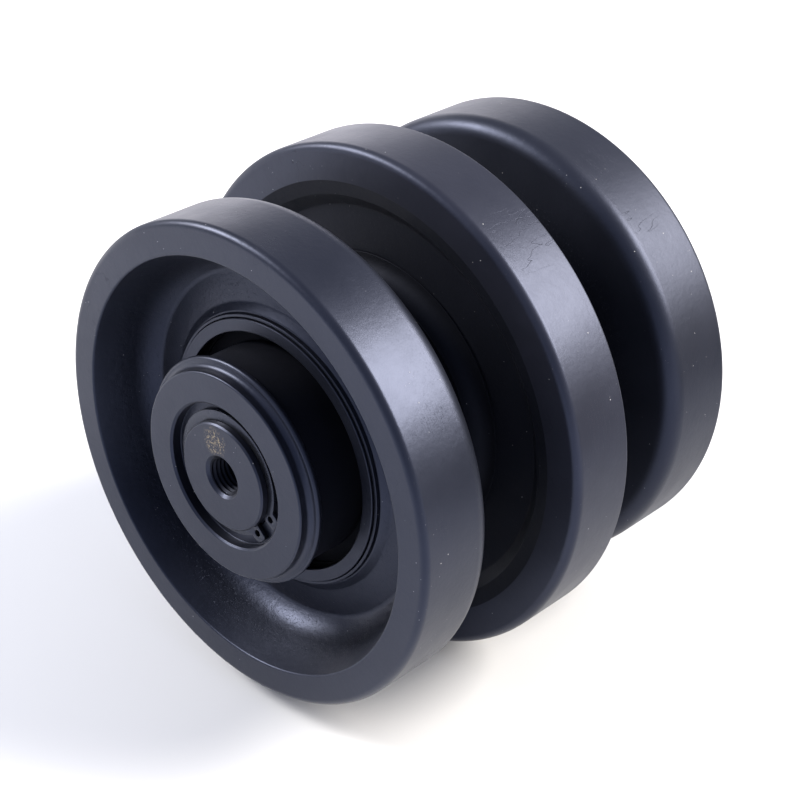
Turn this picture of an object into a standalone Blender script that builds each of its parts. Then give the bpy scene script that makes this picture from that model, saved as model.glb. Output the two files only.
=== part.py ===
"""Track roller with two dished end wheels and a larger centre flange (Blender 4.5).

The roller turns about the Y axis, +Z is up, and the origin is the middle of the roller.
Turned parts are described by their section: "out" is the distance from the middle along the
axis, "rad" the distance from the axis, both in millimetres. side is -1 for the left end (-Y)
and +1 for the right end (+Y).
"""
import math

import bmesh
import bpy
from mathutils import Matrix, Vector

MM = 0.001
ROUND_STEPS = 48            # facets round the wheels and the flange
HUB_STEPS = 32              # facets round the parts inside the hub
RING_STEPS = 24             # facets round the rubber rings
GAP = 0.3                   # clearance between touching parts
FILLET_DENSITY = 0.9        # facets of a fillet per radian, for a fillet of 1 mm
SHARP_ANGLE = 32.0          # creases steeper than this stay sharp, degrees

WHEEL_R = 100.0             # end wheel tread
WHEEL_FACE = 90.0           # outer face of an end wheel
WHEEL_BACK = 54.5           # inner face of an end wheel
WHEEL_EDGE = 3.0            # outer edge rounding
WHEEL_SHOULDER = 7.5        # inner edge rounding
WHEEL_SLOPE = 2.0           # how far the inner face leans outwards down to the tube
WHEEL_ROOT = 9.0            # rounding where the inner face meets the tube
DISH_R = 86.5               # mouth of the dish
DISH_BEND = (67.7, 78.75)   # where its tapered wall would meet the slope to the crease
DISH_BEND_FILLET = 18.0
DISH_CREASE = (64.0, 73.2)  # deepest ring of the dish
HUB_FOOT = (67.2, 59.8)     # where the web meets the hub

FLANGE_R = 108.7            # centre flange tread
FLANGE_FRONT = -16.2        # its two faces stand a little off centre
FLANGE_BACK = 13.8
FLANGE_FRONT_EDGE = 3.2     # roundings of its two tread edges
FLANGE_BACK_EDGE = 1.0
FLANGE_RECESS = 6.2         # how far the web lies behind the faces
FLANGE_BAND_R = 93.8        # inside of the flat annulus
FLANGE_LEDGE_R = 87.6       # where the drop to the web starts
FLANGE_LEDGE = 1.7          # how far the sloping ledge lies behind the face there
FLANGE_FOOT_R = 82.4        # where the drop ends
FLANGE_DROP_FILLET = 1.4    # rounding at the top and foot of the drop

TUBE_R = 55.0               # hub tube
OIL_SPACE_R = 38.0
WELD_LEG = 8.1

GUARD_FACE = 71.0           # ring pressed into the hub mouth
GUARD_IN, GUARD_OUT = 49.9, 55.2
GUARD_DEPTH = 6.7
GUARD_PLATE = 1.6           # thickness of its front plate and of its rim
LIP_FACE = 70.1             # hub lip round the guard
LIP_R = 56.5
LIP_STEP = 1.9              # how far the step round the lip lies behind it

SEAL_PLANE = 63.2           # where the two metal seal rings meet
SEAL_WALL_R = 41.5
SEAL_SEAT = 8.1             # depth of each seal seat from the seal plane
SEAL_R = 38.0               # metal seal rings
SEAL_WIDTH = 7.4
SEAL_FACE_GAP = 0.15        # half the oil film between the lapped faces, drawn wider
SEAL_FACE_WIDTH = 1.7       # full-radius rim behind the lapped face
SEAL_RAMP_R = 35.0          # the ramp that the rubber ring sits on
HOUSING_GAP = 0.75          # half the gap between wheel and collar at the seal
TORIC_R = 38.5
TORIC_THICK = 2.4           # radius of the rubber ring's section
TORIC_OUT = 5.0             # distance from the seal plane

COLLAR_FACE = 96.0
COLLAR_FACE_R = 43.0
COLLAR_SHOULDER = 90.9
COLLAR_SHOULDER_R = 46.9
COLLAR_SHOULDER_WIDTH = 2.6
COLLAR_BARREL_R = 44.0
COLLAR_POCKET_R = 30.0      # counterbore for the circlip
COLLAR_POCKET = 91.2
COLLAR_MOUTH = 0.9          # chamfer of the counterbore
COLLAR_BOSS_R = 28.0

SHAFT_END = 96.5
SHAFT_R = 22.5              # under the collars
SHAFT_CHAMFER = 0.7
JOURNAL_R = 25.0            # under the bushings
JOURNAL_END = 54.0
THREAD_R = 7.0              # M16 tapping hole
THREAD_MOUTH_R = 9.2
THREAD_DEPTH = 34.0
DRILL_POINT = 3.0
OIL_WAY_R = 3.0
OIL_WAY_END = 6.0           # how far the oil way runs past the middle, with its own point
OIL_WAY_POINT = 1.5
CROSS_HOLE_R = 2.2          # feeds the hub, starts inside the oil way
CROSS_HOLE_START = 2.0
PLUG_R = 4.7
PLUG_LENGTH = 4.0

ORING_GROOVE = (78.0, 81.5)     # groove for the O-ring under each collar
ORING_GROOVE_DEPTH = 1.9
ORING_THICK = 0.85              # radius of the O-ring's section

BUSH_R = 30.0               # bushings, pressed into the hub
BUSH_FLANGE_R = 36.0
BUSH_FLANGE = 3.0
BUSH_LENGTH = 32.0

CLIP_INNER, CLIP_OUTER = 21.5, 26.3
CLIP_LUG_R = 28.8
CLIP_HOLE_R = 25.1          # plier holes lie on this radius
CLIP_HOLE = 1.25            # radius of a plier hole
CLIP_HOLE_ANGLE = 14.0      # from the middle of the opening, degrees
CLIP_THICK = 1.7
CLIP_FACE = 93.2
CLIP_OPENING = -38.0        # direction of the opening, degrees from +X towards +Z

PAINT = ("satin_black", (0.022, 0.023, 0.028), 0.42, 0.25)
CLIP_PAINT = ("black_oxide", (0.016, 0.017, 0.02), 0.38, 0.6)
STEEL = ("ground_steel", (0.50, 0.50, 0.49), 0.30, 1.0)
BRONZE = ("bronze", (0.52, 0.34, 0.15), 0.35, 1.0)
RUBBER = ("rubber", (0.012, 0.012, 0.012), 0.75, 0.0)


def clear_scene():
    """Remove every object of the open file."""
    for obj in list(bpy.data.objects):
        bpy.data.objects.remove(obj, do_unlink=True)


def collection(name):
    """A new collection in the scene."""
    made = bpy.data.collections.new(name)
    bpy.context.scene.collection.children.link(made)
    return made


def paint(obj, finish):
    """Give the object a material of its own."""
    kind, colour, roughness, metallic = finish
    mat = bpy.data.materials.new(f"{obj.name}_{kind}")
    mat.use_nodes = True
    shader = mat.node_tree.nodes["Principled BSDF"]
    shader.inputs["Base Color"].default_value = (*colour, 1.0)
    shader.inputs["Roughness"].default_value = roughness
    shader.inputs["Metallic"].default_value = metallic
    mat.diffuse_color = (*colour, 1.0)
    obj.data.materials.clear()
    obj.data.materials.append(mat)


def rounded(corners, closed=True):
    """Section points from corners (out, rad) or (out, rad, fillet radius)."""
    points = []
    for i, corner in enumerate(corners):
        here = Vector(corner[:2])
        fillet = corner[2] if len(corner) > 2 else 0.0
        if fillet == 0.0 or (not closed and i in (0, len(corners) - 1)):
            points.append(here)
            continue
        to_last = (Vector(corners[i - 1][:2]) - here).normalized()
        to_next = (Vector(corners[(i + 1) % len(corners)][:2]) - here).normalized()
        half = to_last.angle(to_next) / 2
        centre = here + (to_last + to_next).normalized() * (fillet / math.sin(half))
        start = here + to_last * (fillet / math.tan(half)) - centre
        end = here + to_next * (fillet / math.tan(half)) - centre
        turn = start.angle_signed(end)
        steps = max(1, round(abs(turn) * math.sqrt(fillet) * FILLET_DENSITY))
        for k in range(steps + 1):
            points.append(centre + Matrix.Rotation(-turn * k / steps, 2) @ start)
    return points


def turned(name, corners, finish, target, side=1, steps=HUB_STEPS, closed=True):
    """Turn a section about the Y axis; an open section starts and ends on the axis."""
    points = [(p.y, side * p.x) for p in rounded(corners, closed)]
    area = sum(p[0] * q[1] - q[0] * p[1] for p, q in zip(points, points[1:] + points[:1]))
    if area > 0:
        points.reverse()
    mesh = bpy.data.meshes.new(name)
    edges = [(i, i + 1) for i in range(len(points) - 1)]
    if closed:
        edges.append((len(points) - 1, 0))
    mesh.from_pydata([(rad * MM, along * MM, 0.0) for rad, along in points], edges, [])
    obj = bpy.data.objects.new(name, mesh)
    target.objects.link(obj)
    screw = obj.modifiers.new("turn", "SCREW")
    screw.axis = "Y"
    screw.steps = screw.render_steps = steps
    screw.use_merge_vertices = True
    screw.merge_threshold = 0.01 * MM
    screw.use_smooth_shade = True
    settle(obj)
    paint(obj, finish)
    return obj


def settle(obj):
    """Keep the evaluated shape as the object's own mesh, smooth with sharp corners."""
    graph = bpy.context.evaluated_depsgraph_get()
    mesh = bpy.data.meshes.new_from_object(obj.evaluated_get(graph))
    mesh.shade_smooth()
    mesh.set_sharp_from_angle(angle=math.radians(SHARP_ANGLE))
    obj.modifiers.clear()
    obj.data = mesh


def wheel(name, target, side):
    """End wheel in one piece with its half of the hub tube, bored for bushing and seals."""
    seat = SEAL_PLANE - SEAL_SEAT
    bush_out = JOURNAL_END - BUSH_FLANGE - GAP
    bush_in = JOURNAL_END - BUSH_LENGTH - GAP
    guard_back = GUARD_FACE - GUARD_DEPTH - GAP
    corners = [
        (WHEEL_FACE, DISH_R, 0.8),
        (WHEEL_FACE, WHEEL_R, WHEEL_EDGE),
        (WHEEL_BACK, WHEEL_R, WHEEL_SHOULDER),
        (WHEEL_BACK - WHEEL_SLOPE, TUBE_R, WHEEL_ROOT),
        (GAP / 2, TUBE_R),
        (GAP / 2, OIL_SPACE_R),
        (bush_in, OIL_SPACE_R),
        (bush_in, BUSH_R + GAP),
        (bush_out, BUSH_R + GAP),
        (bush_out, BUSH_FLANGE_R + GAP),
        (seat, BUSH_FLANGE_R + GAP),
        (seat, SEAL_WALL_R),
        (SEAL_PLANE - HOUSING_GAP, SEAL_WALL_R),
        (SEAL_PLANE - HOUSING_GAP, GUARD_IN),
        (guard_back, GUARD_IN),
        (guard_back, GUARD_OUT + GAP),
        (LIP_FACE, GUARD_OUT + GAP),
        (LIP_FACE, LIP_R),
        (LIP_FACE - LIP_STEP, LIP_R),
        (LIP_FACE - LIP_STEP, LIP_R + 1.2),
        (*HUB_FOOT, 2.0),
        DISH_CREASE,
        (*DISH_BEND, DISH_BEND_FILLET),
    ]
    turned(name, corners, PAINT, target, side, ROUND_STEPS)


def flange(target):
    """Centre flange, and the weld bead on each of its sides."""
    front_web = FLANGE_FRONT + FLANGE_RECESS
    back_web = FLANGE_BACK - FLANGE_RECESS
    corners = [
        (FLANGE_FRONT, FLANGE_R, FLANGE_FRONT_EDGE),
        (FLANGE_BACK, FLANGE_R, FLANGE_BACK_EDGE),
        (FLANGE_BACK, FLANGE_BAND_R),
        (FLANGE_BACK - FLANGE_LEDGE, FLANGE_LEDGE_R, FLANGE_DROP_FILLET),
        (back_web, FLANGE_FOOT_R, FLANGE_DROP_FILLET),
        (back_web, TUBE_R + GAP),
        (front_web, TUBE_R + GAP),
        (front_web, FLANGE_FOOT_R, FLANGE_DROP_FILLET),
        (FLANGE_FRONT + FLANGE_LEDGE, FLANGE_LEDGE_R, FLANGE_DROP_FILLET),
        (FLANGE_FRONT, FLANGE_BAND_R),
    ]
    turned("center_flange", corners, PAINT, target, steps=ROUND_STEPS)
    for name, side, web in (("left_weld", -1, -front_web), ("right_weld", 1, back_web)):
        start = web + GAP
        bead = [
            (start, TUBE_R + GAP),
            (start, TUBE_R + GAP + WELD_LEG),
            (start + WELD_LEG * 0.62, TUBE_R + GAP + WELD_LEG * 0.55, 6.0),
            (start + WELD_LEG, TUBE_R + GAP),
        ]
        turned(name, bead, PAINT, target, side)


def hub_parts(end, target, side):
    """Bearing, seal guard, metal seal rings and their rubber rings at one end."""
    flange_in = JOURNAL_END - BUSH_FLANGE
    turned(f"{end}_bushing", [
        (JOURNAL_END, JOURNAL_R + GAP, 0.5),
        (JOURNAL_END, BUSH_FLANGE_R, 0.5),
        (flange_in, BUSH_FLANGE_R),
        (flange_in, BUSH_R),
        (JOURNAL_END - BUSH_LENGTH, BUSH_R),
        (JOURNAL_END - BUSH_LENGTH, JOURNAL_R + GAP),
    ], BRONZE, target, side)
    turned(f"{end}_seal_guard", [
        (GUARD_FACE, GUARD_IN, 0.6),
        (GUARD_FACE, GUARD_OUT, 0.4),
        (GUARD_FACE - GUARD_DEPTH, GUARD_OUT),
        (GUARD_FACE - GUARD_DEPTH, GUARD_OUT - GUARD_PLATE),
        (GUARD_FACE - GUARD_PLATE, GUARD_OUT - GUARD_PLATE),
        (GUARD_FACE - GUARD_PLATE, GUARD_IN),
    ], PAINT, target, side)
    for kind, facing, bore in (("static", 1, COLLAR_BOSS_R + GAP), ("running", -1, COLLAR_BOSS_R + 1.0)):
        ring = [
            (SEAL_FACE_GAP, bore),
            (SEAL_FACE_GAP, SEAL_R, 0.5),
            (SEAL_FACE_WIDTH, SEAL_R),
            (SEAL_FACE_WIDTH + 0.7, SEAL_RAMP_R + 0.8),
            (SEAL_WIDTH, SEAL_RAMP_R),
            (SEAL_WIDTH, bore),
        ]
        placed = [(SEAL_PLANE + facing * c[0], *c[1:]) for c in ring]
        turned(f"{end}_{kind}_seal", placed, STEEL, target, side)
        toric(f"{end}_{kind}_toric", SEAL_PLANE + facing * TORIC_OUT, TORIC_R, TORIC_THICK, target, side)


def toric(name, out, rad, thick, target, side):
    """Rubber ring of round section, thick is the section's radius."""
    section = [(out + thick * math.cos(t), rad + thick * math.sin(t))
               for t in (math.tau * k / 8 for k in range(8))]
    turned(name, section, RUBBER, target, side, RING_STEPS)


def collar(name, target, side):
    """End collar: shoulder and counterbore outside, seal seat and boss inside the hub."""
    seat = SEAL_PLANE + SEAL_SEAT
    corners = [
        (COLLAR_POCKET, COLLAR_POCKET_R),
        (COLLAR_FACE - COLLAR_MOUTH, COLLAR_POCKET_R),
        (COLLAR_FACE, COLLAR_POCKET_R + COLLAR_MOUTH),
        (COLLAR_FACE, COLLAR_FACE_R, 0.8),
        (COLLAR_SHOULDER, COLLAR_FACE_R, 2.4),
        (COLLAR_SHOULDER, COLLAR_SHOULDER_R, 1.3),
        (COLLAR_SHOULDER - COLLAR_SHOULDER_WIDTH, COLLAR_SHOULDER_R, 1.0),
        (COLLAR_SHOULDER - COLLAR_SHOULDER_WIDTH, COLLAR_BARREL_R, 0.5),
        (SEAL_PLANE + HOUSING_GAP, COLLAR_BARREL_R),
        (SEAL_PLANE + HOUSING_GAP, SEAL_WALL_R),
        (seat, SEAL_WALL_R),
        (seat, COLLAR_BOSS_R),
        (JOURNAL_END + GAP, COLLAR_BOSS_R),
        (JOURNAL_END + GAP, SHAFT_R + GAP),
        (COLLAR_POCKET, SHAFT_R + GAP),
    ]
    turned(name, corners, PAINT, target, side)


def shaft(target, cutters):
    """Shaft from the bottom of the oil way, out of the left end and back to the right hole."""
    groove = CLIP_FACE - CLIP_THICK
    oring_floor = SHAFT_R - ORING_GROOVE_DEPTH
    half = [
        (SHAFT_END - THREAD_MOUTH_R + THREAD_R, THREAD_R),
        (SHAFT_END, THREAD_MOUTH_R),
        (SHAFT_END, SHAFT_R - SHAFT_CHAMFER),
        (SHAFT_END - SHAFT_CHAMFER, SHAFT_R),
        (CLIP_FACE + GAP, SHAFT_R),
        (CLIP_FACE + GAP, CLIP_INNER - GAP),
        (groove - GAP, CLIP_INNER - GAP),
        (groove - GAP, SHAFT_R),
        (ORING_GROOVE[1], SHAFT_R),
        (ORING_GROOVE[1], oring_floor),
        (ORING_GROOVE[0], oring_floor),
        (ORING_GROOVE[0], SHAFT_R),
        (JOURNAL_END, SHAFT_R),
        (JOURNAL_END, JOURNAL_R, 0.5),
    ]
    floor = SHAFT_END - THREAD_DEPTH
    plug_seat = PLUG_LENGTH + GAP - floor
    oil_way = [(OIL_WAY_END, 0.0), (OIL_WAY_END - OIL_WAY_POINT, OIL_WAY_R), (plug_seat, OIL_WAY_R),
               (plug_seat, PLUG_R + GAP), (-floor, PLUG_R + GAP), (-floor, THREAD_R)]
    left = [(-c[0], *c[1:]) for c in half]
    right = [*reversed(half), (floor, THREAD_R), (floor - DRILL_POINT, 0.0)]
    axle = turned("axle", oil_way + left + right, PAINT, target, closed=False)

    length = JOURNAL_R + 1.0
    mesh = bpy.data.meshes.new("cross_hole")
    drill = bmesh.new()
    bmesh.ops.create_cone(drill, cap_ends=True, segments=12, radius1=CROSS_HOLE_R * MM,
                          radius2=CROSS_HOLE_R * MM, depth=length * MM,
                          matrix=Matrix.Translation((0.0, 0.0, (CROSS_HOLE_START + length / 2) * MM)))
    drill.to_mesh(mesh)
    drill.free()
    cross = bpy.data.objects.new("cross_hole", mesh)
    cross.hide_render = True
    cross.display_type = "WIRE"
    cutters.objects.link(cross)
    cut = axle.modifiers.new("cross_hole", "BOOLEAN")
    cut.operation = "DIFFERENCE"
    cut.solver = "EXACT"
    cut.object = cross

    turned("oil_plug", [(GAP - floor, 0.0), (GAP - floor, PLUG_R),
                        (PLUG_LENGTH - floor, PLUG_R), (PLUG_LENGTH - floor, 0.0)],
           STEEL, target, steps=RING_STEPS, closed=False)


def circlip(name, target, side):
    """External retaining ring: a 2D outline with two lugs and their plier holes."""
    def polar(rad, degrees):
        turn = math.radians(degrees + CLIP_OPENING)
        return rad * math.cos(turn), rad * math.sin(turn)

    outline = [polar(CLIP_INNER, a) for a in range(8, 353, 6)]
    outline += [polar(CLIP_INNER + 1.0, 353), polar(CLIP_LUG_R - 1.2, 353.5), polar(CLIP_LUG_R, 350.5)]
    outline += [polar(CLIP_LUG_R, 344.5), polar(CLIP_LUG_R - 1.0, 339.5), polar(CLIP_OUTER, 335)]
    outline += [polar(CLIP_OUTER, a) for a in range(330, 29, -6)]
    outline += [polar(CLIP_OUTER, 25), polar(CLIP_LUG_R - 1.0, 20.5), polar(CLIP_LUG_R, 15.5)]
    outline += [polar(CLIP_LUG_R, 9.5), polar(CLIP_LUG_R - 1.2, 6.5), polar(CLIP_INNER + 1.0, 7)]
    loops = [outline]
    for degrees in (CLIP_HOLE_ANGLE, -CLIP_HOLE_ANGLE):
        x, y = polar(CLIP_HOLE_R, degrees)
        loops.append([(x + CLIP_HOLE * math.cos(t), y + CLIP_HOLE * math.sin(t))
                      for t in (math.tau * k / 12 for k in range(12))])

    curve = bpy.data.curves.new(name, "CURVE")
    curve.dimensions = "2D"
    curve.fill_mode = "BOTH"
    curve.extrude = CLIP_THICK / 2 * MM
    for loop in loops:
        spline = curve.splines.new("POLY")
        spline.points.add(len(loop) - 1)
        for point, (x, y) in zip(spline.points, loop):
            point.co = (x * MM, y * MM, 0.0, 1.0)
        spline.use_cyclic_u = True
    outline_obj = bpy.data.objects.new(f"{name}_outline", curve)
    target.objects.link(outline_obj)

    graph = bpy.context.evaluated_depsgraph_get()
    mesh = bpy.data.meshes.new_from_object(outline_obj.evaluated_get(graph))
    bpy.data.objects.remove(outline_obj)
    upright = Matrix.Rotation(math.radians(90), 4, "X")
    facing = Matrix.Rotation(0.0 if side < 0 else math.pi, 4, "Z")
    along = Matrix.Translation((0.0, side * (CLIP_FACE - CLIP_THICK / 2) * MM, 0.0))
    body = bmesh.new()
    body.from_mesh(mesh)
    bmesh.ops.remove_doubles(body, verts=body.verts, dist=0.01 * MM)
    body.transform(along @ facing @ upright)
    bmesh.ops.recalc_face_normals(body, faces=body.faces)
    body.to_mesh(mesh)
    body.free()
    obj = bpy.data.objects.new(name, mesh)
    target.objects.link(obj)
    paint(obj, CLIP_PAINT)


def build():
    """Make every part of the roller."""
    clear_scene()
    oring_out = sum(ORING_GROOVE) / 2
    oring_r = SHAFT_R - ORING_GROOVE_DEPTH + GAP + ORING_THICK
    roller = collection("track_roller")
    cutters = collection("cutters")
    shaft(roller, cutters)
    flange(roller)
    for end, side in (("left", -1), ("right", 1)):
        wheel(f"{end}_wheel", roller, side)
        hub_parts(end, roller, side)
        collar(f"{end}_collar", roller, side)
        circlip(f"{end}_circlip", roller, side)
        toric(f"{end}_shaft_oring", oring_out, oring_r, ORING_THICK, roller, side)


build()
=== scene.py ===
"""Track roller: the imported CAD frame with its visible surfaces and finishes."""
import math

import bmesh
import bpy
import numpy as np
from mathutils import Matrix, Vector


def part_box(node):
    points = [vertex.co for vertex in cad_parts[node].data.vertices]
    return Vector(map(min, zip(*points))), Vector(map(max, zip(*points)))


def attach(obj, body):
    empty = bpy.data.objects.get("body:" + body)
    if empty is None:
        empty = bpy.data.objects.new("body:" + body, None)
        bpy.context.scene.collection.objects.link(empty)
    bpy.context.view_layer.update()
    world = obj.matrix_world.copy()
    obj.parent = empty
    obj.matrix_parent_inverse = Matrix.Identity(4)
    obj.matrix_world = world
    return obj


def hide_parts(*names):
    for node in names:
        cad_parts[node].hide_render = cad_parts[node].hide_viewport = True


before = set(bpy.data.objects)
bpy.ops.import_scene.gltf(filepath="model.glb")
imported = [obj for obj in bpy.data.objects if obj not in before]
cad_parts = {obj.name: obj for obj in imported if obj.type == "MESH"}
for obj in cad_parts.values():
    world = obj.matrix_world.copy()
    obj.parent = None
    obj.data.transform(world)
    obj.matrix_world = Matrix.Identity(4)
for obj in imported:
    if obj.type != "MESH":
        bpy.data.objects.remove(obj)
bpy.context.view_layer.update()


# ---------------------------------------------------------------- studio
# The roller lies on a plain pale sheet in a white tent. A bright soft box behind its right
# side draws the pale band along the treads, and others fill from the left.


def plain_stage(name, corners, colour, rough):
    """One flat sheet of the studio through the given corners, with a plain finish."""
    sheet = bpy.data.objects.new(name, bpy.data.meshes.new(name))
    sheet.data.from_pydata(corners, [], [tuple(range(len(corners)))])
    bpy.context.scene.collection.objects.link(sheet)
    mat = bpy.data.materials.new(name)
    mat.use_nodes = True
    shader = mat.node_tree.nodes["Principled BSDF"]
    shader.inputs["Base Color"].default_value = (*colour, 1.0)
    shader.inputs["Roughness"].default_value = rough
    sheet.data.materials.append(mat)


floor_gap = 0.0002
floor_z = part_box("center_flange")[0][2] - floor_gap
floor_half = 4.0
plain_stage("studio_floor", [(-floor_half, -floor_half, floor_z), (floor_half, -floor_half, floor_z),
                             (floor_half, floor_half, floor_z), (-floor_half, floor_half, floor_z)],
            (0.60, 0.63, 0.70), 0.6)

# A black card stands on the sheet behind the right side, out of view, and darkens the treads
# below the pale band.
plain_stage("black_card", [(0.68, 0.20, floor_z), (0.22, 0.66, floor_z), (0.22, 0.66, 0.19),
                           (0.52, 0.36, 0.19), (0.55, 0.33, 0.09), (0.68, 0.20, 0.09)],
            (0.01, 0.01, 0.01), 0.9)
world = bpy.data.worlds.new("tent")
world.use_nodes = True
tent = world.node_tree.nodes["Background"]
tent.inputs["Color"].default_value = (0.88, 0.93, 1.12, 1)
tent.inputs["Strength"].default_value = 0.56
bpy.context.scene.world = world
bpy.context.scene.view_settings.view_transform = "Standard"


def soft_box(name, place, size, glow, colour, along=(0.0, 0.0, 1.0)):
    """Rectangular light at place, facing the roller's middle. size is across and along the given
    direction in metres, and glow its brightness, from which its power follows: pi area glow.
    Its axes are z from the middle to the place, y the along direction square to z, x square to both.
    """
    data = bpy.data.lights.new(name, "AREA")
    data.shape = "RECTANGLE"
    data.size, data.size_y = size
    data.energy = math.pi * size[0] * size[1] * glow
    data.color = colour
    light = bpy.data.objects.new(name, data)
    z = Vector(place).normalized()
    y = (Vector(along) - z * z.dot(Vector(along))).normalized()
    light.matrix_world = Matrix.Translation(place) @ Matrix((y.cross(z), y, z)).transposed().to_4x4()
    bpy.context.scene.collection.objects.link(light)


soft_box("rear_right_box", (1.80, 1.65, 1.72), (1.4, 1.75), 29.0, (1.24, 1.12, 0.93),
         along=(-0.68, 0.0, 0.73))
soft_box("rear_left_box", (-2.0, 1.7, 0.45), (2.0, 1.0), 2.2, (1.05, 1.0, 1.03))
soft_box("left_box", (-1.9, -1.2, 1.5), (0.9, 0.9), 36.0, (1.20, 1.12, 0.99))

camera = bpy.data.objects.new("camera", bpy.data.cameras.new("camera"))
camera.data.sensor_width = 36.0
camera.data.lens = 83.0
camera.data.shift_x, camera.data.shift_y = 0.0173, -0.0224
camera.data.clip_start = 0.02
right = Vector((0.71810, 0.69594, 0.0))
up = Vector((-0.34126, 0.35213, 0.87152))
back = right.cross(up)
camera.matrix_world = Matrix.Translation((0.45828, -0.47942, 0.37587)) @ Matrix(
    (right, up, back)).transposed().to_4x4()
bpy.context.scene.collection.objects.link(camera)
bpy.context.scene.camera = camera


# ---------------------------------------------------------------- end wheels
# Steel forgings: a broad tread, a flat machined annulus, and a dish left as forged, with the
# hub tube in one piece with the web. Turned on the tread and the annulus, then painted black.
# The cavity behind the seal guard gets a near black, dull finish: painted shade in the recess.
def section(corners, closed=True):
    """Section line of a turned piece, in millimetres, as rows (y, radius, edge, forged).

    Each corner is (y, radius, fillet, forged), and maybe the spacing of the points up to the next
    one. A fillet is an arc tangent to both sides, with a point about every 8 degrees. Straight
    runs get a point close to each end and one about every 6 mm, so that smooth shading stays
    inside the fillets. edge is 1 on outward fillets.
    """
    pts = np.array([c[:2] for c in corners], float)
    rows = []
    count = len(pts)
    after = np.roll(pts, -1, axis=0)
    area = np.sum(pts[:, 0] * after[:, 1] - after[:, 0] * pts[:, 1])
    for i, corner in enumerate(corners):
        here, fillet, forged = pts[i], corner[2], corner[3]
        ends = not closed and i in (0, count - 1)
        if fillet <= 0 or ends:
            rows.append([(here[0], here[1], 0.0, forged)])
            continue
        a = pts[i - 1] - here
        b = after[i] - here
        a, b = a / np.hypot(*a), b / np.hypot(*b)
        half = math.acos(np.clip(a @ b, -1, 1)) / 2
        centre = here + (a + b) / np.hypot(*(a + b)) * (fillet / math.sin(half))
        start = here + a * (fillet / math.tan(half)) - centre
        end = here + b * (fillet / math.tan(half)) - centre
        turn = math.atan2(start[0] * end[1] - start[1] * end[0], start @ end)
        steps = max(2, int(abs(turn) / math.radians(8)) + 1)
        t = np.linspace(0, turn, steps + 1)
        arc = centre + np.stack([start[0] * np.cos(t) - start[1] * np.sin(t),
                                 start[0] * np.sin(t) + start[1] * np.cos(t)], 1)
        convex = 1.0 if turn * area > 0 else 0.0
        rows.append([(p[0], p[1], convex, forged) for p in arc])
    line = []
    for i, row in enumerate(rows):
        line += row
        if not closed and i == count - 1:
            break
        p, q = np.array(row[-1]), np.array(rows[(i + 1) % count][0])
        length = np.hypot(*(q[:2] - p[:2]))
        if length > 0.9:
            near = min(0.3, length * 0.25) / length
            spacing = corners[i][4] if len(corners[i]) > 4 else 6.0
            inner = np.linspace(near, 1 - near, max(2, int(length / spacing) + 2))
            for t in inner:
                step = p + (q - p) * t
                line.append((step[0], step[1], 0.0, p[3] if t < 0.5 else q[3]))
    return np.array(line)


def turned(name, line, turns=288, closed=True, wobble=None):
    """Surface of revolution: point (i, j) is the section's point i carried to angle 2 pi j / turns
    about the Y axis. wobble(y, radius, angle) gives extra (dy, dradius) in millimetres.
    """
    after = np.roll(line, -1, axis=0)
    if np.sum(line[:, 0] * after[:, 1] - after[:, 0] * line[:, 1]) < 0:
        line = line[::-1]
    rows = len(line)
    angle = np.arange(turns) * (2 * math.pi / turns)
    y = np.repeat(line[:, :1], turns, 1)
    rad = np.repeat(line[:, 1:2], turns, 1)
    if wobble:
        dy, dr = wobble(y, rad, angle[None, :])
        y, rad = y + dy, rad + dr
    co = np.stack([rad * np.cos(angle), y, rad * np.sin(angle)], -1).reshape(-1, 3) * 0.001
    i, j = np.meshgrid(np.arange(rows if closed else rows - 1), np.arange(turns), indexing="ij")
    i2, j2 = (i + 1) % rows, (j + 1) % turns
    quads = np.stack([i * turns + j, i * turns + j2, i2 * turns + j2, i2 * turns + j], -1).reshape(-1, 4)
    mesh = bpy.data.meshes.new(name)
    mesh.from_pydata(co.tolist(), [], quads.tolist())
    run = np.concatenate([[0], np.cumsum(np.hypot(*np.diff(line[:, :2], axis=0).T))])
    for key, values in (("run", run), ("edge", line[:, 2]), ("forged", line[:, 3])):
        mesh.attributes.new(key, "FLOAT", "POINT").data.foreach_set("value", np.repeat(values, turns))
    if not closed:
        body = bmesh.new()
        body.from_mesh(mesh)
        bmesh.ops.remove_doubles(body, verts=body.verts, dist=1e-7)
        body.to_mesh(mesh)
        body.free()
    mesh.shade_smooth()
    obj = bpy.data.objects.new(name, mesh)
    bpy.context.scene.collection.objects.link(obj)
    return obj


def finish(name):
    """A new material and add(kind, props, **inputs), which puts a node in it and links its inputs."""
    mat = bpy.data.materials.new(name)
    mat.use_nodes = True
    tree = mat.node_tree

    def add(kind, props=None, **inputs):
        made = tree.nodes.new("ShaderNode" + kind)
        for key, value in (props or {}).items():
            setattr(made, key, value)
        for key, value in inputs.items():
            slot = made.inputs[int(key[1:]) if key[1:].isdigit() else key.replace("_", " ")]
            if isinstance(value, bpy.types.NodeSocket):
                tree.links.new(value, slot)
            else:
                slot.default_value = value
        return made.outputs[0]

    return mat, add


satin_black = (0.0068, 0.0078, 0.0125)
nowhere = ((0.0, 0.0, 0.0), 0.0001)


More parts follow.
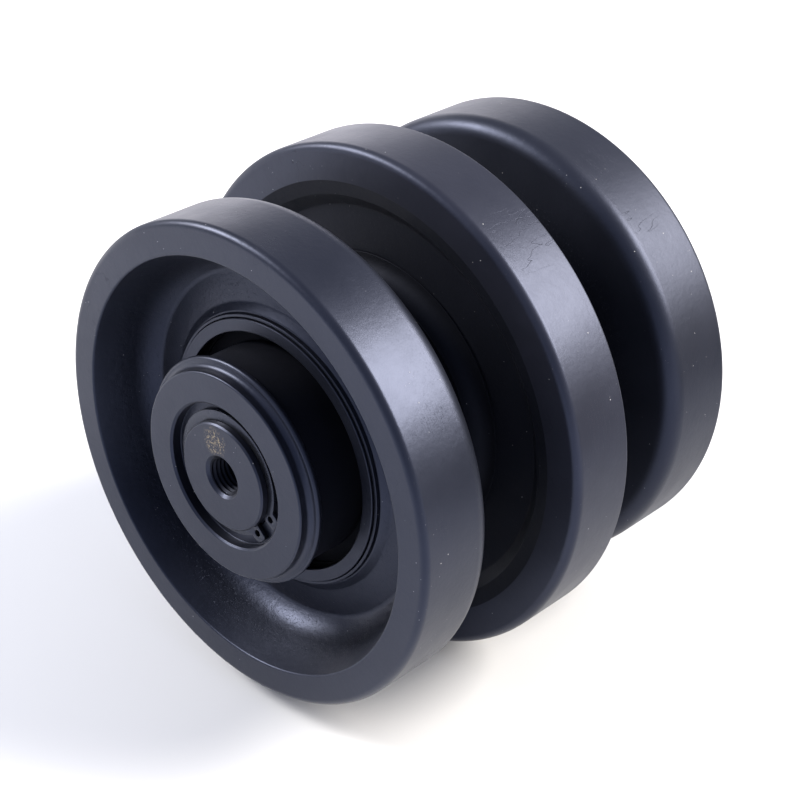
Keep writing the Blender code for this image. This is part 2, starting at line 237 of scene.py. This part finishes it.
def painted(name, base=satin_black, rough=0.38, index=1.5, forging=0.16, turning=0.010, flecks=0.5,
            nicks=0.5, scuffed=nowhere, worn=nowhere):
    """Satin black paint over steel.

    Height in millimetres is orange peel and fine grain, plus forging lumps and pits where the
    piece is as forged, plus turning lines that follow the section where it is machined. Pale
    dust sits on it in clusters, hairline scratches run round it in places, and small nicks break
    the outward edges. scuffed and worn are each a place and a size in metres: round the first
    are deeper scratches, and round the second the paint is rubbed off in specks down to a pale
    yellow primer.
    """
    mat, add = finish(name)
    shader = mat.node_tree.nodes["Principled BSDF"]
    where = add("TexCoord")
    place = where.node.outputs["Object"]
    forged = add("Attribute", {"attribute_name": "forged"}).node.outputs["Fac"]
    edge = add("Attribute", {"attribute_name": "edge"}).node.outputs["Fac"]
    run = add("Attribute", {"attribute_name": "run"}).node.outputs["Fac"]

    def noise(scale, detail=2.0, roughness=0.5, at=place):
        return add("TexNoise", Vector=at, Scale=scale, Detail=detail, Roughness=roughness)

    def calc(op, a, b=0.0, clamp=False):
        return add("Math", {"operation": op, "use_clamp": clamp}, _0=a, _1=b)

    def ramp(value, low, high):
        return add("MapRange", {"interpolation_type": "SMOOTHSTEP"}, Value=value, From_Min=low, From_Max=high)

    def mix(fac, a, b):
        return add("Mix", {"data_type": "RGBA"}, _0=fac, _6=a, _7=b).node.outputs[2]

    machined = calc("SUBTRACT", 1.0, forged)
    lathe = add("TexNoise", {"noise_dimensions": "1D"}, W=calc("MULTIPLY", run, 3.1), Scale=1.0, Detail=3.0)
    height = calc("ADD", calc("MULTIPLY", noise(700), 0.022), calc("MULTIPLY", noise(360), 0.045))
    height = calc("ADD", height, calc("MULTIPLY", noise(2600, 3, 0.65), 0.012))
    height = calc("ADD", height, calc("MULTIPLY", calc("MULTIPLY", noise(330, 4, 0.62), forging), forged))
    height = calc("ADD", height, calc("MULTIPLY", calc("MULTIPLY", lathe, turning), machined))
    pits = calc("MULTIPLY", ramp(noise(1100, 3, 0.7), 0.60, 0.70), forged)
    height = calc("SUBTRACT", height, calc("MULTIPLY", pits, 0.35 * forging))

    def specks(scale, size, share):
        """Round dots of the given size in cells, in the given share of the cells."""
        cells = add("TexVoronoi", Vector=place, Scale=scale)
        chosen = calc("GREATER_THAN", add("SeparateColor", Color=cells.node.outputs["Color"]), 1.0 - share)
        return calc("MULTIPLY", ramp(cells.node.outputs["Distance"], size, size * 0.5), chosen)

    def near(centre, size):
        """1 round a place, falling to 0 at the given distance."""
        away = add("VectorMath", {"operation": "DISTANCE"}, _0=place, _1=centre).node.outputs["Value"]
        return ramp(away, size, size * 0.4)

    clusters = ramp(noise(38, 2), 0.53, 0.62)
    dust = calc("MULTIPLY", specks(900.0, 0.18, 0.08 * flecks), clusters)
    dust = calc("MAXIMUM", dust, specks(260.0, 0.070, 0.14 * flecks))
    height = calc("ADD", height, calc("MULTIPLY", dust, 0.04))

    around = add("VectorMath", {"operation": "MULTIPLY"}, _0=place, _1=(70.0, 700.0, 70.0))
    line = calc("ABSOLUTE", calc("SUBTRACT", noise(1.0, 2, at=around), 0.5))
    scratch = calc("MULTIPLY", ramp(line, 0.006, 0.002), ramp(noise(17, 2), 0.58, 0.66))
    scratch = calc("MULTIPLY", scratch, calc("MULTIPLY", machined, 0.6))
    across = add("VectorMath", {"operation": "MULTIPLY"}, _0=place, _1=(190.0, 45.0, 190.0))
    groove = calc("ABSOLUTE", calc("SUBTRACT", noise(1.0, 2, at=across), 0.5))
    groove = calc("MULTIPLY", ramp(groove, 0.0060, 0.0020), near(*scuffed))
    scratch = calc("MAXIMUM", scratch, groove)
    height = calc("SUBTRACT", height, calc("MULTIPLY", scratch, 0.03))
    rubbed = calc("MULTIPLY", ramp(noise(1300, 3, 0.7), 0.52, 0.60), near(*worn))

    nick = calc("MULTIPLY", ramp(calc("ADD", edge, noise(420, 4, 0.7)), 1.70, 1.74), nicks)
    height = calc("SUBTRACT", height, calc("MULTIPLY", nick, 0.10))

    deep = tuple(c * 0.45 for c in base) + (1.0,)
    cloud = calc("MULTIPLY", ramp(noise(22, 4, 0.6), 0.1, 0.7),
                 calc("SUBTRACT", 1.0, calc("MULTIPLY", forged, 0.5)))
    colour = mix(cloud, deep, (*base, 1.0))
    colour = mix(nick, colour, (0.030, 0.031, 0.035, 1))
    colour = mix(scratch, colour, (0.003, 0.003, 0.004, 1))
    colour = mix(dust, colour, (0.40, 0.41, 0.44, 1))
    colour = mix(rubbed, colour, (0.24, 0.20, 0.13, 1))
    gloss = calc("ADD", calc("MULTIPLY", noise(48, 4, 0.6), 0.16), rough - 0.08)
    gloss = calc("ADD", gloss, calc("MULTIPLY", forged, 0.03))
    gloss = calc("ADD", gloss, calc("MULTIPLY", calc("ADD", dust, scratch), 0.25))
    gloss = calc("ADD", gloss, calc("MULTIPLY", rubbed, 0.2), True)
    relief = add("Bump", Height=height, Distance=0.001, Strength=1.0)
    links = mat.node_tree.links
    links.new(colour, shader.inputs["Base Color"])
    links.new(gloss, shader.inputs["Roughness"])
    links.new(relief, shader.inputs["Normal"])
    shader.inputs["Specular Tint"].default_value = (0.50, 0.60, 1.0, 1)
    shader.inputs["IOR"].default_value = index
    return mat


# Darker, duller paint on the hub tube between wheel and flange: painted shade in the gap.
tube_painted_shade = painted("tube_painted_shade", base=(0.0030, 0.0033, 0.0050), rough=0.70, index=1.20, flecks=0.0)
# Near black and dull: painted shade for the hub cavity behind the seal guard.
cavity_shade = painted("cavity_painted_shade", base=(0.0025, 0.0025, 0.003), rough=0.75, index=1.25, turning=0.0, flecks=0.0)


def middles(piece):
    """Distance from the roller's middle plane and from its axis of each face's middle, in millimetres."""
    mid = np.empty(len(piece.data.polygons) * 3)
    piece.data.polygons.foreach_get("center", mid)
    mid = mid.reshape(-1, 3) * 1000.0
    return np.abs(mid[:, 1]), np.hypot(mid[:, 0], mid[:, 2])


# The right wheel's colour is a lighter copy of the left wheel's black: painted light.
for end, side, base, rough, scuffed in (
        ("left", -1, satin_black, 0.38, (0.082, -0.070, -0.058)),
        ("right", 1, (0.0080, 0.0090, 0.0138), 0.43, (0.0656, 0.070, 0.0755))):
    corners = [
        (90.0, 86.5, 0.9, 0.2), (90.0, 100.0, 3.0, 0.0), (54.5, 100.0, 7.5, 0.2), (52.5, 55.0, 9.0, 1.0),
        (0.15, 55.0, 0.0, 1.0), (0.15, 38.0, 0.0, 0.0), (21.7, 38.0, 0.0, 0.0), (21.7, 30.3, 0.0, 0.0),
        (50.7, 30.3, 0.0, 0.0), (50.7, 36.3, 0.0, 0.0), (55.1, 36.3, 0.0, 0.0), (55.1, 41.5, 0.0, 0.0),
        (62.5, 41.5, 0.0, 0.0), (62.5, 49.9, 0.0, 0.0), (64.0, 49.9, 0.0, 0.0), (64.0, 55.5, 0.0, 0.0),
        (70.1, 55.5, 0.2, 0.0), (70.1, 56.7, 0.4, 0.0), (68.4, 57.0, 0.15, 0.0), (68.2, 57.6, 0.3, 0.3),
        (66.2, 60.6, 2.6, 1.0), (64.0, 73.2, 3.0, 1.0), (67.7, 78.75, 16.0, 1.0),
    ]
    wheel = turned(f"{end}_wheel_body", section([(side * c[0], *c[1:]) for c in corners]), turns=320)
    paint = painted(f"{end}_wheel_paint", base=base, rough=rough, nicks=0.8, scuffed=(scuffed, 0.012))
    for mat in (paint, cavity_shade, tube_painted_shade):
        wheel.data.materials.append(mat)
    out, radius = middles(wheel)
    # Faces deep in the hub take the cavity's painted shade, and the tube by the flange the tube's painted
    # shade.
    deep = (radius < 54.9) & (out < 69.5)
    tube = (radius < 66.0) & (out < 54.0) & ~deep
    wheel.data.polygons.foreach_set("material_index", (deep + 2 * tube).astype(np.int32))
    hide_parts(f"{end}_wheel")
    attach(wheel, "roller")


# ---------------------------------------------------------------- centre flange
# A thicker steel ring between the wheels, larger than they are, with a flat annulus and a
# recessed web on each face. Slipped over the joint of the two hub tubes and welded to them.
corners = [
    (-16.2, 108.7, 3.4, 0.0), (13.8, 108.7, 1.0, 0.0), (13.8, 93.8, 0.4, 0.2), (12.1, 87.6, 1.0, 0.6),
    (7.6, 82.4, 1.4, 1.0), (7.6, 55.3, 0.0, 1.0), (-10.0, 55.3, 0.0, 1.0), (-10.0, 82.4, 1.4, 1.0),
    (-14.5, 87.6, 1.0, 0.6), (-16.2, 93.8, 0.4, 0.2),
]
ring = turned("center_flange_body", section(corners), turns=352)
ring.data.materials.append(painted("flange_paint", base=(0.0120, 0.0130, 0.0200), rough=0.40, forging=0.07,
                                   nicks=0.7, scuffed=((0.0640, 0.0020, 0.0879), 0.019)))
ring.data.materials.append(painted("web_paint", base=(0.0060, 0.0068, 0.0105), rough=0.50, index=1.34,
                                   forging=0.07))
web = middles(ring)[1] < 93.7
ring.data.polygons.foreach_set("material_index", web.astype(np.int32))
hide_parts("center_flange")
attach(ring, "roller")


# ---------------------------------------------------------------- weld beads
# One weld on each side ties the flange's web to the hub tube. Each is dressed to a smooth
# hollow fillet and painted over, so only a hairline at its toe shows on the web.
# The beads get darker, duller paint than the rest: painted shade in the corner between web and tube.
weld_painted_shade = painted("weld_painted_shade", base=(0.0045, 0.005, 0.0075), rough=0.6, index=1.24, forging=0.08,
                     flecks=0.2)
for end, side, web in (("left", -1, 10.3), ("right", 1, 7.9)):
    corners = [(web, 55.3, 0.0, 1.0), (web, 63.4, 0.2, 1.0), (web + 0.5, 63.4, 0.2, 1.0),
               (web + 0.6, 55.8, 7.0, 1.0), (web + 8.1, 55.8, 0.2, 1.0), (web + 8.1, 55.3, 0.0, 1.0)]
    bead = turned(f"{end}_weld_bead", section([(side * c[0], *c[1:]) for c in corners]), turns=256)
    bead.data.materials.append(weld_painted_shade)
    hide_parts(f"{end}_weld")
    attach(bead, "roller")


# ---------------------------------------------------------------- seal guards
# Plain steel rings pressed into the hub mouths in front of the seals. Their machined faces show
# as a lighter band with a fine joint line round the outside.
guard_paint = painted("guard_paint", turning=0.02, flecks=0.2)
for end, side in (("left", -1), ("right", 1)):
    corners = [(71.0, 49.9, 0.5, 0.0), (71.0, 55.2, 0.4, 0.0), (64.3, 55.2, 0.0, 0.0), (64.3, 53.6, 0.2, 0.0),
               (69.4, 53.6, 0.0, 0.0), (69.4, 49.9, 0.4, 0.0)]
    guard = turned(f"{end}_guard_ring", section([(side * c[0], *c[1:]) for c in corners]), turns=256)
    guard.data.materials.append(guard_paint)
    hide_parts(f"{end}_seal_guard")
    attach(guard, "roller")


# ---------------------------------------------------------------- end collars
# Turned steel collars slid on the shaft. Each has a flat face, a rounded shoulder, a
# counterbore for the retaining ring, and a barrel that runs into the hub and carries the seal.
collar_paint = painted("collar_paint", turning=0.016, flecks=0.35, nicks=0.3)
# The barrel behind the shoulder gets darker, duller paint: painted shade under the shoulder.
barrel_painted_shade = painted("barrel_painted_shade", base=(0.0035, 0.0038, 0.0058), rough=0.6, index=1.33, flecks=0.0)
for end, side in (("left", -1), ("right", 1)):
    corners = [
        (91.2, 30.0, 0.4, 0.0), (95.2, 30.0, 0.3, 0.0), (96.0, 30.9, 0.3, 0.0), (96.0, 43.0, 0.8, 0.0),
        (90.9, 43.0, 2.4, 0.0), (90.9, 46.9, 1.3, 0.0), (88.3, 46.9, 1.0, 0.0), (88.3, 44.0, 0.5, 0.0),
        (64.0, 44.0, 0.3, 0.0), (64.0, 41.5, 0.3, 0.0), (71.3, 41.5, 0.3, 0.0), (71.3, 28.0, 0.3, 0.0),
        (54.3, 28.0, 0.3, 0.0), (54.3, 22.8, 0.0, 0.0), (91.2, 22.8, 0.0, 0.0),
    ]
    collar = turned(f"{end}_collar_body", section([(side * c[0], *c[1:]) for c in corners]), turns=288)
    collar.data.materials.append(collar_paint)
    collar.data.materials.append(barrel_painted_shade)
    out, radius = middles(collar)
    barrel = (radius < 44.4) & (radius > 31.0) & (out < 88.0)
    collar.data.polygons.foreach_set("material_index", barrel.astype(np.int32))
    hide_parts(f"{end}_collar")
    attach(collar, "axle")


# ---------------------------------------------------------------- shaft
# One steel shaft, fixed in the machine. Each end has a chamfer, a groove for the retaining ring
# and an M16 hole with a real helical thread; an oil way runs in from the left hole.
def end_corners(side):
    """Corners of one shaft end, from the start of its threaded hole to the journal."""
    rows = [
        (62.5, 7.0, 0.0, 0.0, 0.35), (94.3, 7.0, 0.0, 0.0, 0.4), (96.5, 9.2, 0.25, 0.0),
        (96.5, 21.8, 0.3, 0.0), (95.8, 22.5, 0.3, 0.0), (93.5, 22.5, 0.1, 0.0),
        (93.5, 21.2, 0.0, 0.0), (91.2, 21.2, 0.0, 0.0),
        (91.2, 22.5, 0.1, 0.0), (81.5, 22.5, 0.0, 0.0), (81.5, 20.6, 0.0, 0.0), (78.0, 20.6, 0.0, 0.0),
        (78.0, 22.5, 0.0, 0.0), (54.0, 22.5, 0.0, 0.0), (54.0, 25.0, 0.5, 0.0),
    ]
    return [(side * c[0], *c[1:]) for c in rows]


def thread(y, rad, angle):
    """M16 thread: a helix of the given pitch, its groove a clipped triangle of the distance along
    the hole over the pitch, minus the turn. It fades out at the hole's bottom and in its chamfer.
    """
    pitch, depth, major, bottom = 2.0, 1.06, 8.06, 64.0
    crest, flank = 0.14, 0.74
    phase = (np.abs(y) / pitch - angle / (2 * math.pi)) % 1.0
    wave = np.clip((1 - np.abs(2 * phase - 1) - crest) / flank, 0, 1)
    fade = np.clip((np.abs(y) - bottom) / 2.5, 0, 1) * np.clip((major - rad) / 1.05, 0, 1)
    return 0.0, depth * wave * fade


way = [(6.0, 0.0, 0.0, 0.0), (4.5, 3.0, 0.0, 0.0), (-58.2, 3.0, 0.0, 0.0), (-58.2, 5.0, 0.0, 0.0),
       (-62.5, 5.0, 0.0, 0.0)]
corners = way + end_corners(-1) + end_corners(1)[::-1] + [(59.5, 0.0, 0.0, 0.0)]
shaft = turned("axle_shaft", section(corners, closed=False), turns=176, closed=False, wobble=thread)
shaft.data.materials.append(painted("shaft_paint", base=(0.0080, 0.0088, 0.0130), turning=0.02, nicks=0.6,
                                    worn=((-0.0030, -0.0965, 0.0145), 0.0075)))
# The threaded hole gets a near black, duller finish: painted shade inside the hole.
shaft.data.materials.append(painted("bore_painted_shade", base=(0.003, 0.003, 0.004), rough=0.5, index=1.3, turning=0.0,
                                    flecks=0.0))
out, radius = middles(shaft)
bore = (radius < 8.0) & (out > 58.0)
shaft.data.polygons.foreach_set("material_index", bore.astype(np.int32))
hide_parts("axle")
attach(shaft, "axle")


# ---------------------------------------------------------------- retaining rings
# External spring steel rings, stamped from strip: the ring narrows towards its opening and ends
# in two lugs with plier holes. Phosphated black, snapped into the shaft's groove.
clip_finish = painted("clip_finish", base=(0.010, 0.011, 0.014), rough=0.28, turning=0.0, flecks=0.0)
ring_opening = -38.0


def clip_outline():
    """Outline of the ring: radius as a function of the angle from the opening.

    Outside, it falls from 26.6 mm opposite the opening to 25.4 mm at the lugs, each a smooth
    bump to 28.8 mm about 14 degrees from the middle of the opening. Inside it is the groove.
    """
    slim, swell, lug_height, lug_off, lug_half, groove = 25.4, 1.2, 3.4, 13.6, 7.6, 21.5
    half = np.linspace(7.5, 352.5, 240)
    off = np.minimum(half, 360 - half)
    outer = slim + swell * (1 - np.cos(np.radians(off))) / 2
    lug = np.clip(1 - ((off - lug_off) / lug_half) ** 4, 0, 1) ** 0.5
    outer = np.maximum(outer, slim + lug_height * lug * (off < lug_off + lug_half + 0.3))
    turn = np.radians(half + ring_opening)
    out = np.stack([outer * np.cos(turn), outer * np.sin(turn)], 1)
    back = np.radians(np.linspace(352.0, 8.0, 150) + ring_opening)
    inn = np.stack([groove * np.cos(back), groove * np.sin(back)], 1)
    return np.concatenate([out, inn]) * 0.001


def plier_hole(off):
    """Circle of the hole that lies the given angle off the middle of the opening."""
    centre, hole, count = 25.2, 1.42, 28
    at = math.radians(off + ring_opening)
    t = np.arange(count) * (2 * math.pi / count)
    return np.stack([centre * math.cos(at) + hole * np.cos(t),
                     centre * math.sin(at) + hole * np.sin(t)], 1) * 0.001


ring_middle, flat_half, edge_round = 0.09235, 0.00071, 0.00014
for end, side in (("left", -1), ("right", 1)):
    curve = bpy.data.curves.new("ring_outline", "CURVE")
    curve.dimensions, curve.fill_mode = "2D", "BOTH"
    curve.bevel_depth, curve.bevel_resolution = edge_round, 2
    curve.extrude, curve.offset = flat_half, -edge_round
    for loop in (clip_outline(), plier_hole(14.0), plier_hole(-14.0)):
        spline = curve.splines.new("POLY")
        spline.points.add(len(loop) - 1)
        rows = np.column_stack([loop, np.zeros(len(loop)), np.ones(len(loop))])
        spline.points.foreach_set("co", rows.ravel())
        spline.use_cyclic_u = True
    flat = bpy.data.objects.new("ring_outline", curve)
    bpy.context.scene.collection.objects.link(flat)
    mesh = bpy.data.meshes.new_from_object(flat.evaluated_get(bpy.context.evaluated_depsgraph_get()))
    bpy.data.objects.remove(flat)
    facing = Matrix.Rotation(0.0 if side < 0 else math.pi, 4, "Z") @ Matrix.Rotation(math.pi / 2, 4, "X")
    mesh.transform(Matrix.Translation((0, side * ring_middle, 0)) @ facing)
    body = bmesh.new()
    body.from_mesh(mesh)
    bmesh.ops.remove_doubles(body, verts=body.verts, dist=2e-6)
    bmesh.ops.recalc_face_normals(body, faces=body.faces)
    body.to_mesh(mesh)
    body.free()
    mesh.shade_smooth()
    mesh.set_sharp_from_angle(angle=math.radians(35))
    ring = bpy.data.objects.new(f"{end}_retaining_ring", mesh)
    bpy.context.scene.collection.objects.link(ring)
    ring.data.materials.clear()
    ring.data.materials.append(clip_finish)
    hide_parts(f"{end}_circlip")
    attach(ring, "axle")


# ---------------------------------------------------------------- bearings and seals
# Hidden in the hub: bronze bushings pressed in, lapped metal seal rings in pairs, rubber rings
# that press them together, an O-ring under each collar, and the plug of the oil way.
def plain(name, base, rough, metallic, grain, depth):
    """Cloudy colour, uneven gloss and a fine grain of the given scale and depth in millimetres."""
    mat, add = finish(name)
    shader = mat.node_tree.nodes["Principled BSDF"]
    place = add("TexCoord").node.outputs["Object"]
    cloud = add("TexNoise", Vector=place, Scale=60.0, Detail=4.0)
    fine = add("TexNoise", Vector=place, Scale=grain, Detail=3.0)
    dark = tuple(c * 0.6 for c in base) + (1.0,)
    colour = add("Mix", {"data_type": "RGBA"}, _0=cloud, _6=dark, _7=(*base, 1.0)).node.outputs[2]
    gloss = add("MapRange", Value=cloud, To_Min=rough - 0.08, To_Max=rough + 0.12)
    high = add("Math", {"operation": "MULTIPLY"}, _0=fine, _1=depth)
    relief = add("Bump", Height=high, Distance=0.001)
    mat.node_tree.links.new(colour, shader.inputs["Base Color"])
    mat.node_tree.links.new(gloss, shader.inputs["Roughness"])
    mat.node_tree.links.new(relief, shader.inputs["Normal"])
    shader.inputs["Metallic"].default_value = metallic
    return mat


inner = {
    "bushing": plain("bronze_bushing", (0.56, 0.36, 0.15), 0.35, 1.0, 1500.0, 0.01),
    "seal": plain("lapped_steel", (0.52, 0.52, 0.51), 0.28, 1.0, 2500.0, 0.006),
    "toric": plain("seal_rubber", (0.014, 0.014, 0.015), 0.7, 0.0, 900.0, 0.02),
    "oring": plain("oring_rubber", (0.012, 0.012, 0.013), 0.55, 0.0, 900.0, 0.01),
    "oil_plug": plain("plug_steel", (0.45, 0.45, 0.46), 0.38, 1.0, 1200.0, 0.01),
}
for node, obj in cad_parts.items():
    for ending, mat in inner.items():
        if node.endswith(ending):
            obj.data.materials.clear()
            obj.data.materials.append(mat)
